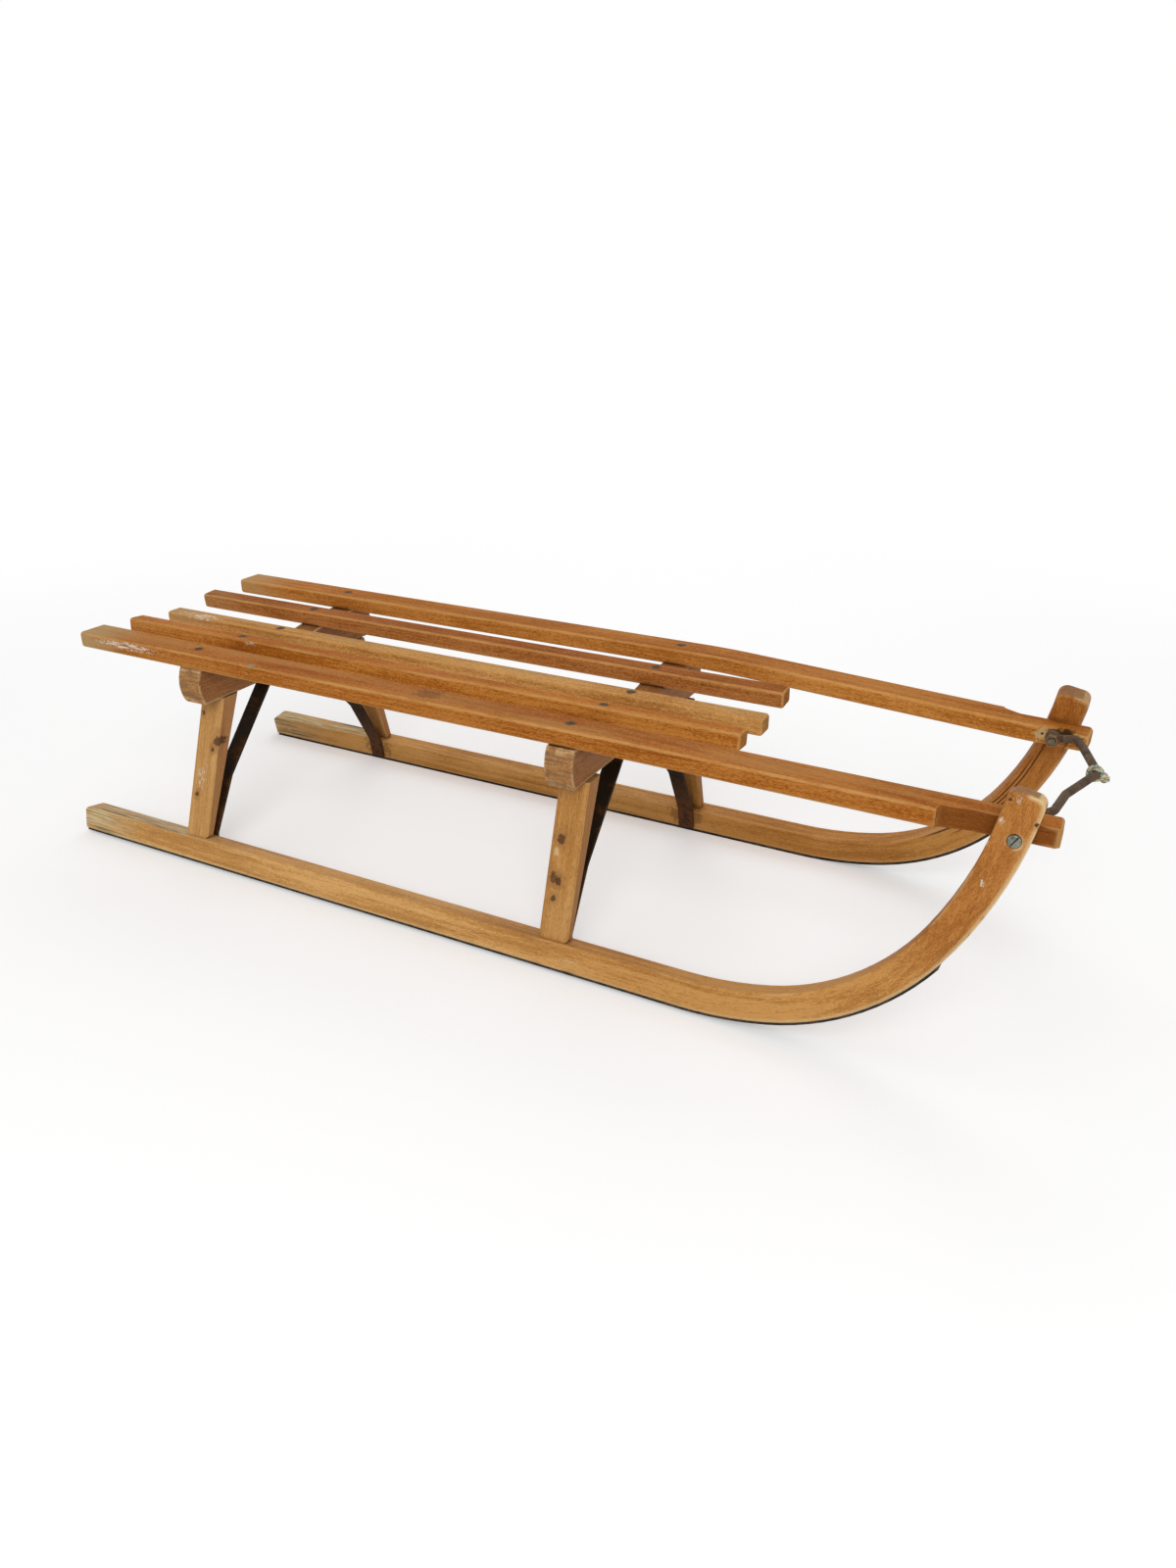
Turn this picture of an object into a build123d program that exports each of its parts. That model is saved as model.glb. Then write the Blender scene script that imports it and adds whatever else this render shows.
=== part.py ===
from build123d import *
import math
import os

# Wooden slatted sled: two bent runners shod with steel, two trestles of a beam and
# two splayed legs each, four iron braces, five slats and an iron pull bow at the tips.
# X runs forward to the curled tips, Y to the sled's left, Z up; the origin is on the
# floor under the middle of the whole sled. All sizes in mm.

os.makedirs("parts", exist_ok=True)

fit = 0.3                      # clearance round every round fit

# stations along the sled
rear_x = -345.0                # rear trestle
front_x = 90.0                 # front trestle

# runners, each in a plane that leans inward at the top
lean = 10.2                    # degrees from upright
track_half = 152.0             # inner lower edge of a shoe from the centre line
runner_thick = 21.0            # across the leaning plane
runner_depth = 28.0            # sole of the shoe to the top of the wood
shoe_thick = 2.0               # steel strip under the wood
shoe_width = 20.0              # flush with the inner face
heel_right_x = -514.0
heel_left_x = -518.0
bend_right_x = 220.5           # where the sole leaves the floor
bend_left_x = 226.8
bend_radii = (345.0, 215.0, 344.0)
bend_angles = (13.6, 46.4, 24.0)
sole_angles = (13.6, 43.6, 25.4)   # the wood grows a little deeper towards the tip
shoe_angles = (13.6, 42.0)     # the strip stops short of the tip
heel_round_top = 12.0          # rear end of a runner, seen from the side
heel_round_low = 6.0
heel_corner = 4.5              # and its corners cut off, seen from above
tip_round = 8.0
runner_edge = 2.0

# slats
outer_width = 34.0
inner_width = 21.0
slat_thick = 17.0
slat_edge = 3.5
slat_end = 3.2                 # rounding of the cut ends
slat_nose_corner = 3.0         # front corner of an outer slat on its recessed side
slat_rear_x = (-501.0, -505.0, -508.0, -508.0, -502.0)     # from right to left
centre_z = 200.8               # underside of the centre slat
inner_z = 207.9                # underside of the inner slats, at their middle
outer_z = 212.3                # underside of the outer slats
inner_y = 59.5
outer_y = 122.5
inner_tilt = 4.5               # inner slats lie on the slope of the beam, degrees
seat_play = 1.0                # the flat under a slat is wider than it by this, each side
inner_front_x = 227.0
slat_nose = 30.0               # outer slats stand forward of the tip bolts by this much
droop_gap = 2.0                # they bend inward and down from here on, ahead of the beam
droop_radius = 900.0
slat_in = 8.5                  # slat centre line inside the runner's face at the bolt
slat_low = 1.8                 # slat centre line under the bolt
recess_start_right = 59.0      # outer face cut back for the runner tip, behind the bolt
recess_start_left = 48.0
recess_full = 33.0
recess_step_right = 5.0        # depth at its rounded start
recess_step_left = 7.0
recess_round = 4.0
nose_plane = 2.5               # underside planed off towards the front end

# trestles
beam_width = 28.0
beam_under = 174.0             # underside of both beams
beam_reach_rear = -2.5         # end of a beam past the outer edge of the slats
beam_reach_front = 1.5
beam_bulge = 5.0               # rounded ends stand out by this much
beam_tuck = 1.0                # and come back in at the underside
beam_edge = 1.5
leg_width = 30.0
leg_ahead = {                  # legs stand ahead of the middle of their beam
    ("rear", "left"): 2.5,
    ("rear", "right"): 0.0,
    ("front", "left"): 4.5,
    ("front", "right"): 2.4,
}
leg_foot_thick = 9.5
leg_taper = 4.4                # degrees; the inner face runs out towards the foot
leg_out = 7.5                  # outer face outside the leg axis
leg_room = 10.0                # drawn this far into the runner before it is cut to it
leg_edge = 1.5
splay_rear_right = 19.3        # degrees from upright
splay_front_right = 16.8
splay_rear_left = 15.0
splay_front_left = 16.8
leg_inset = 1.4                # leg axis inside the middle of the runner
leg_foot_round = 4.0
tenon_width = 18.0
tenon_thick = 8.0
tenon_depth = 12.0

# braces
brace_width = 17.5
brace_thick = 3.0
brace_ahead = 4.0              # braces stand ahead of the middle of the legs
brace_foot = 5.0               # lower end above the sole, along the runner
brace_screw_lift = 10.5        # lower screw above the sole
brace_lift = 30.0              # where the brace leaves the runner
brace_knee_in = 37.0           # bend of the brace, inside the sole of the runner
brace_knee_z = 87.0
brace_top_y = 36.0             # where it meets the beam
brace_end_y = 10.0
brace_bend = 7.0

# screws and bolts
slat_screw_d = 4.0
slat_screw_head = 8.5
slat_screw_length = 34.0
screw_slot = 1.2
slot_turn = 30.0               # slots of the tip bolts off upright, degrees
brace_screw_d = 3.6
brace_screw_head = 8.0
brace_screw_length = 15.0
bolt_d = 6.0
bolt_head_d = 10.4
bolt_head_thick = 3.0
bolt_from_tip = 34.9           # bolt below the end of the runner, along it
bolt_back = 2.6                # and behind the middle of its depth
bolt_tail = 2.0                # end of the bolt past its nut
seat_depth = 2.5               # flat seat sunk for the bolt head
nut_across = 10.0
nut_thick = 5.0

# pull bow
rod_d = 7.0
bow_pitch = 12.0               # stands forward a little above level, degrees
slat_seat_depth = 2.5          # flat seat in the inner face of each outer slat
slat_seat_d = 28.0
washer_d = 13.0
washer_thick = 3.0
eye_d = 13.0
eye_thick = 6.0
eye_play = 0.08                # running clearance of an eye on its bolt
eye_flat_out = 16.0            # the rod is beaten flat this far from the bolt, washer side
eye_flat_in = 9.0              # and nut side
arm_length = 20.0
arm_lean = 4.5                 # the arms close in by this much
left_bend = (27.0, 61.0)       # hand-made bends, forward of the bolts and off the middle
right_bend = (25.0, 45.0)
bow_reach = 44.0
knee_round = 8.0
knot_turn = 3.4                # cord diameter in the knot
knot_turns = 3
knot_pack = 0.9                # turns press into each other
knot_size = 11.0
knot_in = 2.0                  # knot behind the point of the bow

slope = math.radians(lean)
tilt = math.radians(inner_tilt)
through = 300.0                # long enough to cut through any piece
sides = {
    "left": (1, heel_left_x, bend_left_x),
    "right": (-1, heel_right_x, bend_right_x),
}
trestles = {"rear": rear_x, "front": front_x}
beam_reaches = {"rear": beam_reach_rear, "front": beam_reach_front}
recesses = {
    "left": (recess_start_left, recess_step_left),
    "right": (recess_start_right, recess_step_right),
}
splays = {
    ("rear", "left"): math.radians(splay_rear_left),
    ("rear", "right"): math.radians(splay_rear_right),
    ("front", "left"): math.radians(splay_front_left),
    ("front", "right"): math.radians(splay_front_right),
}


def bend_end(offset, start, angles):
    """end of a layer of the runner: along the runner, up it, and its heading"""
    along, up, heading = start, offset, 0.0
    for radius, angle in zip(bend_radii, angles):
        turned = heading + math.radians(angle)
        along += (radius - offset) * (math.sin(turned) - math.sin(heading))
        up += (radius - offset) * (math.cos(heading) - math.cos(turned))
        heading = turned
    return along, up, heading


# the bolts lie on one line across the sled, in the middle of the two tips
ends = [bend_end(shoe_thick, start, sole_angles) for start in (bend_left_x, bend_right_x)]
ends += [bend_end(runner_depth, start, bend_angles) for start in (bend_left_x, bend_right_x)]
tip_along, tip_up, tip_heading = [sum(values) / len(ends) for values in zip(*ends)]
bolt_x = tip_along - bolt_from_tip * math.cos(tip_heading) - bolt_back * math.sin(tip_heading)
bolt_up = tip_up - bolt_from_tip * math.sin(tip_heading) + bolt_back * math.cos(tip_heading)
bolt_z = bolt_up * math.cos(slope) + runner_thick / 2 * math.sin(slope)

# each slat: middle of its underside on the beams, its tilt and its rear end
slat_places = {
    "right_outer": (-outer_y, outer_z, 0.0, slat_rear_x[0]),
    "right_inner": (-inner_y, inner_z, -tilt, slat_rear_x[1]),
    "centre": (0.0, centre_z, 0.0, slat_rear_x[2]),
    "left_inner": (inner_y, inner_z, tilt, slat_rear_x[3]),
    "left_outer": (outer_y, outer_z, 0.0, slat_rear_x[4]),
}

# outer slats: from the front beam straight to the bolts, past a short bend
face_y = track_half - bolt_z * math.tan(slope)
slat_y = face_y - slat_in
slat_drop = outer_z + slat_thick / 2 - bolt_z + slat_low
slant = math.atan2(slat_drop, outer_y - slat_y)
shift = math.hypot(slat_drop, outer_y - slat_y)
droop_x = front_x + beam_width / 2 + droop_gap
run = bolt_x - droop_x
droop = math.atan2(run, droop_radius - shift) - math.acos(
    droop_radius / math.hypot(run, droop_radius - shift)
)
nose_run = (run - droop_radius * math.sin(droop) + slat_nose) / math.cos(droop)
fall = math.tan(droop) * math.sin(slant)
under_z = bolt_z - slat_low - slat_thick / 2

# faces met by the bolt, from the outside in
reach = bolt_z - runner_thick * math.sin(slope)
bolt_seat_y = (
    track_half - reach * math.tan(slope) + runner_thick * math.cos(slope) - seat_depth / 2
)
slat_seat_y = slat_y - outer_width / 2 + slat_seat_depth
eye_y = slat_seat_y - washer_thick
arm_y = eye_y - eye_thick / 2
nut_y = eye_y - eye_thick


def runner_plane(side):
    """inner face of a runner: X forward, Y up along the runner, Z toward -Y"""
    return Plane(
        origin=(0, side * track_half, 0),
        x_dir=(1, 0, 0),
        z_dir=(0, -math.cos(slope), -side * math.sin(slope)),
    )


def runner_top(side):
    """top face of a runner, facing up"""
    face = runner_plane(side)
    return Plane(
        origin=face.from_local_coords((0, runner_depth, 0)),
        x_dir=(1, 0, 0),
        z_dir=face.y_dir,
    )


def leg_plane(side, x, splay):
    """section plane of a leg at its foot, facing up the leg"""
    middle = runner_plane(side).from_local_coords((x, runner_depth, 0))
    middle += runner_thick / 2 * Vector(0, side * math.cos(slope), math.sin(slope))
    return Plane(
        origin=middle - Vector(0, side * leg_inset, 0),
        x_dir=(1, 0, 0),
        z_dir=(0, -side * math.sin(splay), math.cos(splay)),
    )


def run_line(offset, heel, start, angles):
    """line along a runner at one height above the sole, as far as it is bent"""
    piece = Line((heel, offset), (start, offset))
    first = piece @ 0
    for radius, angle in zip(bend_radii, angles):
        piece = JernArc(piece @ 1, piece % 1, radius - offset, angle)
    return first, piece @ 1


def strip(side, heel, start, low, high, width, low_angles, high_angles, rounds):
    """one layer of a runner between two heights, as a solid"""
    with BuildPart() as layer:
        with BuildSketch(runner_plane(side)):
            with BuildLine():
                low_start, low_end = run_line(low, heel, start, low_angles)
                high_start, high_end = run_line(high, heel, start, high_angles)
                Line(low_start, high_start)
                Line(low_end, high_end)
            make_face()
            for corner, radius in zip((low_start, high_start, low_end, high_end), rounds):
                if radius:
                    fillet(vertices().sort_by_distance(corner)[0], radius)
        extrude(amount=-side * width)
    return layer.part


def tenon(side, x, splay, at_top):
    """peg of a leg, from the shoulder into the runner or into the beam"""
    with BuildPart() as peg:
        with BuildSketch(leg_plane(side, x, splay)):
            with Locations((0, side * (leg_out - leg_foot_thick / 2))):
                Rectangle(tenon_width, tenon_thick)
        extrude(amount=through, both=True)
        if at_top:
            split(bisect_by=Plane.XY.offset(beam_under), keep=Keep.TOP)
            split(bisect_by=Plane.XY.offset(beam_under + tenon_depth), keep=Keep.BOTTOM)
        else:
            top = runner_top(side)
            split(bisect_by=top, keep=Keep.BOTTOM)
            split(bisect_by=top.offset(-tenon_depth), keep=Keep.TOP)
    return peg.part


def leg(side, x, ahead, splay):
    """tapered post: its outer face straight, its inner face running out towards the foot"""
    plane = leg_plane(side, x + ahead, splay)
    with BuildPart() as post:
        for lift in (-leg_room, beam_under / math.cos(splay)):
            thick = leg_foot_thick + lift * math.tan(math.radians(leg_taper))
            with BuildSketch(plane.offset(lift)) as section:
                with Locations((0, side * (leg_out - thick / 2))):
                    Rectangle(leg_width, thick)
                chamfer(section.vertices(), leg_edge)
        loft()
        split(bisect_by=runner_top(side), keep=Keep.TOP)
        split(bisect_by=Plane.XY.offset(beam_under), keep=Keep.BOTTOM)
        corners = post.faces().sort_by(Axis.Z)[0].edges().sort_by(Axis.X)
        fillet([corners[0], corners[-1]], leg_foot_round)
        add(tenon(side, x, splay, False))
        add(tenon(side, x, splay, True))
    return post.part


def screw(place, length, shank, head, slotted=True):
    """countersunk screw, its head flush with the XY of the given place"""
    depth = (head - shank) / 2
    with BuildPart(place) as piece:
        with Locations((0, 0, -depth)):
            Cone(shank / 2, head / 2, depth, align=(Align.CENTER, Align.CENTER, Align.MIN))
        with Locations((0, 0, -length)):
            Cylinder(shank / 2, length - depth, align=(Align.CENTER, Align.CENTER, Align.MIN))
        if slotted:
            Box(head, screw_slot, screw_slot, mode=Mode.SUBTRACT)
    return piece.part


def screw_hole(place, length, shank, head):
    """room for such a screw"""
    return screw(place, length + fit, shank + 2 * fit, head + 2 * fit, slotted=False)


def slat_plane(name, x):
    """top face of a slat where it lies on a beam"""
    y, z, angle, rear = slat_places[name]
    up = (0, -math.sin(angle), math.cos(angle))
    return Plane(
        origin=(x, y + slat_thick * up[1], z + slat_thick * up[2]),
        x_dir=(1, 0, 0),
        z_dir=up,
    )


def brace_screw_plane(side, x):
    """inner face of a brace foot, facing the middle of the sled"""
    face = runner_plane(side)
    toward = Vector(0, -side * math.cos(slope), -math.sin(slope))
    spot = face.from_local_coords((x + brace_ahead, brace_screw_lift, 0)) + toward * brace_thick
    return Plane(origin=spot, x_dir=(1, 0, 0), z_dir=toward)


def beam_screw_plane(side, x):
    """underside of a brace where it is screwed to the beam"""
    screw_y = brace_end_y + brace_width / 2
    spot = (x + brace_ahead, side * screw_y, beam_under - brace_thick)
    return Plane(origin=spot, x_dir=(1, 0, 0), z_dir=(0, 0, -1))


def bolt_plane(side, y):
    """across the bolt of one tip, facing outward"""
    return Plane(origin=(bolt_x, side * y, bolt_z), x_dir=(1, 0, 0), z_dir=(0, side, 0))


def bolt_hole(side, clearance):
    with BuildPart() as hole:
        with BuildSketch(bolt_plane(side, nut_y - 2 * nut_thick)):
            Circle(bolt_d / 2 + clearance)
        extrude(amount=bolt_seat_y)
    return hole.part


# runners: wood bent in its own plane, with mortises for two legs each
for name, (side, heel, start) in sides.items():
    with BuildPart() as runner:
        rounds = (heel_round_low, heel_round_top, tip_round, tip_round)
        layer = (heel, start, shoe_thick, runner_depth, runner_thick)
        add(strip(side, *layer, sole_angles, bend_angles, rounds))
        flats = runner.faces().sort_by(SortBy.AREA)[-2:]
        fillet(flats.edges(), runner_edge)
        with BuildSketch(runner_top(side)):
            for face, inward in ((0, 1), (runner_thick, -1)):
                with BuildLine():
                    Polyline(
                        (heel, side * face),
                        (heel + heel_corner, side * face),
                        (heel, side * (face + inward * heel_corner)),
                        close=True,
                    )
                make_face()
        extrude(amount=through, both=True, mode=Mode.SUBTRACT)
        for end, x in trestles.items():
            add(tenon(side, x, splays[end, name], False), mode=Mode.SUBTRACT)
            place = brace_screw_plane(side, x)
            hole = screw_hole(place, brace_screw_length, brace_screw_d, brace_screw_head)
            add(hole, mode=Mode.SUBTRACT)
        add(bolt_hole(side, fit), mode=Mode.SUBTRACT)
        with BuildSketch(bolt_plane(side, bolt_seat_y)):
            Circle(bolt_head_d / 2 + fit)
        extrude(amount=4 * seat_depth, mode=Mode.SUBTRACT)
    runner.part.label = "runner_" + name
    export_step(runner.part, "parts/runner_" + name + ".step")

# steel shoes under the runners, turned up round the bend
for name, (side, heel, start) in sides.items():
    with BuildPart() as shoe:
        layer = (heel + heel_round_low, start, 0, shoe_thick, shoe_width)
        add(strip(side, *layer, shoe_angles, shoe_angles, (0, 0, 0, 0)))
    shoe.part.label = "runner_shoe_" + name
    export_step(shoe.part, "parts/runner_shoe_" + name + ".step")

# trestle beams: flat below, hollowed above with a flat seat for each slat
for name, x in trestles.items():
    with BuildPart() as beam:
        with BuildSketch(Plane.YZ.offset(x)):
            with BuildLine():
                outer_seat = outer_y - outer_width / 2
                beam_half = outer_y + outer_width / 2 + beam_reaches[name]
                seat_half = inner_width / 2 + seat_play
                low = (inner_y - seat_half * math.cos(tilt), inner_z - seat_half * math.sin(tilt))
                high = (inner_y + seat_half * math.cos(tilt), inner_z + seat_half * math.sin(tilt))
                seats = Polyline(
                    (0, centre_z),
                    (seat_half, centre_z),
                    low,
                    high,
                    (outer_seat, outer_z),
                    (beam_half, outer_z),
                )
                bulge = (beam_half + beam_bulge, (outer_z + beam_under) / 2)
                end = ThreePointArc(seats @ 1, bulge, (beam_half - beam_tuck, beam_under))
                Line(end @ 1, (0, beam_under))
                mirror(about=Plane.YZ)
            make_face()
        extrude(amount=beam_width / 2, both=True)
        under = beam.faces().sort_by(Axis.Z)[0]
        chamfer(under.edges().filter_by(Axis.Y), beam_edge)
        for hand, (side, heel, start) in sides.items():
            add(tenon(side, x, splays[name, hand], True), mode=Mode.SUBTRACT)
            place = beam_screw_plane(side, x)
            hole = screw_hole(place, brace_screw_length, brace_screw_d, brace_screw_head)
            add(hole, mode=Mode.SUBTRACT)
        for slat in slat_places:
            place = slat_plane(slat, x)
            hole = screw_hole(place, slat_screw_length, slat_screw_d, slat_screw_head)
            add(hole, mode=Mode.SUBTRACT)
    beam.part.label = "beam_" + name
    export_step(beam.part, "parts/beam_" + name + ".step")

# legs: one solid each, pegged into the beam and the runner
for end, x in trestles.items():
    for name, (side, heel, start) in sides.items():
        with BuildPart() as post:
            add(leg(side, x, leg_ahead[end, name], splays[end, name]))
        post.part.label = "leg_" + end + "_" + name
        export_step(post.part, "parts/leg_" + end + "_" + name + ".step")

# braces: flat iron bent from the inner face of a runner up to the beam
for end, x in trestles.items():
    for name, (side, heel, start) in sides.items():
        low = track_half - brace_foot * math.sin(slope), brace_foot * math.cos(slope)
        lift = track_half - brace_lift * math.sin(slope), brace_lift * math.cos(slope)
        with BuildPart() as brace:
            with BuildSketch(Plane.YZ.offset(x + brace_ahead)):
                with BuildLine():
                    FilletPolyline(
                        low,
                        lift,
                        (track_half - brace_knee_in, brace_knee_z),
                        (brace_top_y, beam_under),
                        (brace_end_y, beam_under),
                        radius=brace_bend,
                    )
                    offset(amount=brace_thick, side=Side.LEFT)
                make_face()
            extrude(amount=brace_width / 2, both=True)
            if side < 0:
                mirror(about=Plane.XZ, mode=Mode.REPLACE)
            for place in (brace_screw_plane(side, x), beam_screw_plane(side, x)):
                hole = screw_hole(place, brace_screw_length, brace_screw_d, brace_screw_head)
                add(hole, mode=Mode.SUBTRACT)
        brace.part.label = "brace_" + end + "_" + name
        export_step(brace.part, "parts/brace_" + end + "_" + name + ".step")

# inner slats: straight
inner_slats = {
    "slat_inner_right": "right_inner",
    "slat_centre": "centre",
    "slat_inner_left": "left_inner",
}
for name, slat in inner_slats.items():
    with BuildPart() as board:
        rear = slat_places[slat][-1]
        place = slat_plane(slat, rear)
        with BuildSketch(Plane(place.origin, x_dir=place.y_dir, z_dir=(1, 0, 0))):
            with Locations((0, -slat_thick / 2)):
                RectangleRounded(inner_width, slat_thick, slat_edge)
        extrude(amount=inner_front_x - rear)
        cuts = board.faces().filter_by(Axis.X)
        fillet(cuts.edges(), slat_end)
        for x in trestles.values():
            hole = screw_hole(slat_plane(slat, x), slat_screw_length, slat_screw_d, slat_screw_head)
            add(hole, mode=Mode.SUBTRACT)
    board.part.label = name
    export_step(board.part, "parts/" + name + ".step")

# outer slats: straight over the beams, then bent in and down to the runner tips
for name, (side, heel, start) in sides.items():
    rear = slat_places[name + "_outer"][-1]
    place = slat_plane(name + "_outer", rear)
    bent = Plane(
        origin=place.origin - Vector(0, 0, slat_thick / 2),
        x_dir=(1, 0, 0),
        z_dir=(0, side * math.sin(slant), -math.cos(slant)),
    )
    with BuildPart() as board:
        with BuildLine(bent) as path:
            straight = Line((0, 0), (droop_x - rear, 0))
            turn = JernArc(straight @ 1, straight % 1, droop_radius, side * math.degrees(droop))
            Line(turn @ 1, turn @ 1 + turn % 1 * nose_run)
        with BuildSketch(Plane(path.wire() @ 0, x_dir=(0, 1, 0), z_dir=(1, 0, 0))):
            RectangleRounded(outer_width, slat_thick, slat_edge)
        sweep(path=path.wire())
        cuts = board.faces().sort_by(Axis.X)
        fillet([*cuts[0].edges(), *cuts[-1].edges()], slat_end)
        for x in trestles.values():
            place = slat_plane(name + "_outer", x)
            hole = screw_hole(place, slat_screw_length, slat_screw_d, slat_screw_head)
            add(hole, mode=Mode.SUBTRACT)
        # recess for the runner tip, cut down to the leaning face of the runner
        face = runner_plane(side)
        recess_start, recess_step = recesses[name]
        with BuildSketch(Plane(face.origin, x_dir=(1, 0, 0), z_dir=face.y_dir)):
            with BuildLine():
                Polyline(
                    (bolt_x - recess_start, side * 2 * runner_thick),
                    (bolt_x - recess_start, side * recess_step),
                    (bolt_x - recess_full, 0),
                    (bolt_x + slat_nose - slat_nose_corner, 0),
                    (bolt_x + slat_nose, -side * slat_nose_corner),
                    (bolt_x + 2 * slat_nose, -side * slat_nose_corner),
                    (bolt_x + 2 * slat_nose, side * 2 * runner_thick),
                    close=True,
                )
            floor = make_face()
            fillet(floor.vertices().sort_by(Axis.X)[:2], recess_round)
        extrude(amount=through, mode=Mode.SUBTRACT)
        # underside planed off towards the front end
        with BuildSketch(Plane.XZ):
            with BuildLine():
                Polyline(
                    (bolt_x - recess_start, under_z + recess_start * fall),
                    (bolt_x + slat_nose, under_z - slat_nose * fall + nose_plane),
                    (bolt_x + slat_nose, under_z - slat_thick),
                    (bolt_x - recess_start, under_z - slat_thick),
                    close=True,
                )
            make_face()
        extrude(amount=through, both=True, mode=Mode.SUBTRACT)
        add(bolt_hole(side, fit), mode=Mode.SUBTRACT)
        with BuildSketch(bolt_plane(side, slat_seat_y)):
            Circle(slat_seat_d / 2)
        extrude(amount=-4 * slat_seat_depth, mode=Mode.SUBTRACT)
    board.part.label = "slat_outer_" + name
    export_step(board.part, "parts/slat_outer_" + name + ".step")

# wood screws, ten in the slats and eight in the braces
for end, x in trestles.items():
    with BuildPart() as screws:
        for slat in slat_places:
            add(screw(slat_plane(slat, x), slat_screw_length, slat_screw_d, slat_screw_head))
    screws.part.label = "slat_screws_" + end
    export_step(screws.part, "parts/slat_screws_" + end + ".step")
    with BuildPart() as screws:
        for side in (1, -1):
            for place in (brace_screw_plane(side, x), beam_screw_plane(side, x)):
                add(screw(place, brace_screw_length, brace_screw_d, brace_screw_head))
    screws.part.label = "brace_screws_" + end
    export_step(screws.part, "parts/brace_screws_" + end + ".step")

# tip bolts: slotted head outside the runner, nut inside the slat
for name, (side, heel, start) in sides.items():
    with BuildPart() as bolt:
        with BuildSketch(bolt_plane(side, bolt_seat_y)):
            Circle(bolt_head_d / 2)
        extrude(amount=bolt_head_thick)
        chamfer(bolt.faces().sort_by(Axis.Y)[-1 if side > 0 else 0].edges(), bolt_head_thick / 4)
        with BuildSketch(bolt_plane(side, bolt_seat_y + bolt_head_thick)):
            Rectangle(screw_slot, bolt_head_d, rotation=-slot_turn)
        extrude(amount=-screw_slot, mode=Mode.SUBTRACT)
        with BuildSketch(bolt_plane(side, nut_y - nut_thick - bolt_tail)):
            Circle(bolt_d / 2)
        extrude(until=Until.NEXT)
    bolt.part.label = "tip_bolt_" + name
    export_step(bolt.part, "parts/tip_bolt_" + name + ".step")

    with BuildPart() as nut:
        with BuildSketch(bolt_plane(side, nut_y)):
            RegularPolygon(nut_across / 2, 6, major_radius=False)
            Circle(bolt_d / 2 + fit, mode=Mode.SUBTRACT)
        extrude(amount=-nut_thick)
    nut.part.label = "tip_nut_" + name
    export_step(nut.part, "parts/tip_nut_" + name + ".step")

    with BuildPart() as washer:
        with BuildSketch(bolt_plane(side, slat_seat_y)):
            Circle(washer_d / 2)
            Circle(bolt_d / 2 + fit, mode=Mode.SUBTRACT)
        extrude(amount=-washer_thick)
    washer.part.label = "tip_washer_" + name
    export_step(washer.part, "parts/tip_washer_" + name + ".step")

# pull bow: one iron rod with an eye on each bolt
pitch = math.radians(bow_pitch)
hinge = Plane(
    origin=(bolt_x, 0, bolt_z),
    x_dir=(math.cos(pitch), 0, math.sin(pitch)),
    z_dir=(-math.sin(pitch), 0, math.cos(pitch)),
)


def bow_rod(radius):
    with BuildPart() as rod:
        with BuildLine(hinge) as bends:
            FilletPolyline(
                (0, arm_y),
                (arm_length, arm_y - arm_lean),
                left_bend,
                (bow_reach, 0),
                (right_bend[0], -right_bend[1]),
                (arm_length, arm_lean - arm_y),
                (0, -arm_y),
                radius=knee_round,
            )
        with BuildSketch(Plane(bends.wire() @ 0, z_dir=bends.wire() % 0)):
            Circle(radius)
        sweep(path=bends.wire())
    return rod.part


with BuildPart() as bow:
    add(bow_rod(rod_d / 2))
    for side in (1, -1):
        with BuildSketch(bolt_plane(side, eye_y)):
            Circle(eye_d / 2)
        extrude(amount=-eye_thick)
    for side in (1, -1):
        add(bolt_hole(side, eye_play), mode=Mode.SUBTRACT)
        # flat cheeks of the eye, against the washer and the nut
        with BuildSketch(bolt_plane(side, eye_y)):
            Circle(eye_flat_out)
        extrude(amount=rod_d, mode=Mode.SUBTRACT)
        with BuildSketch(bolt_plane(side, nut_y)):
            Circle(eye_flat_in)
        extrude(amount=-rod_d, mode=Mode.SUBTRACT)
bow.part.label = "pull_bow"
export_step(bow.part, "parts/pull_bow.step")

# what is left of the tow cord: a tight knot round the nose of the bow
knot_at = hinge.from_local_coords((bow_reach - knot_in, 0, 0))
nose = Plane(knot_at, x_dir=hinge.x_dir, z_dir=(0, 1, 0))
with BuildPart() as knot:
    middle = (knot_turns - 1) / 2
    turns = [nose.offset((i - middle) * knot_turn * knot_pack) for i in range(knot_turns)]
    with Locations(*turns):
        Torus((rod_d + knot_turn) / 2 + fit, knot_turn / 2)
    with Locations(nose.location * Pos(rod_d / 2 + knot_turn + fit, 0, 0)):
        Sphere(knot_size / 2)
    add(bow_rod(rod_d / 2 + fit), mode=Mode.SUBTRACT)
knot.part.label = "cord_knot"
export_step(knot.part, "parts/cord_knot.step")
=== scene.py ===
import math
import random

import bmesh
import bpy
from mathutils import Matrix, Vector


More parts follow.
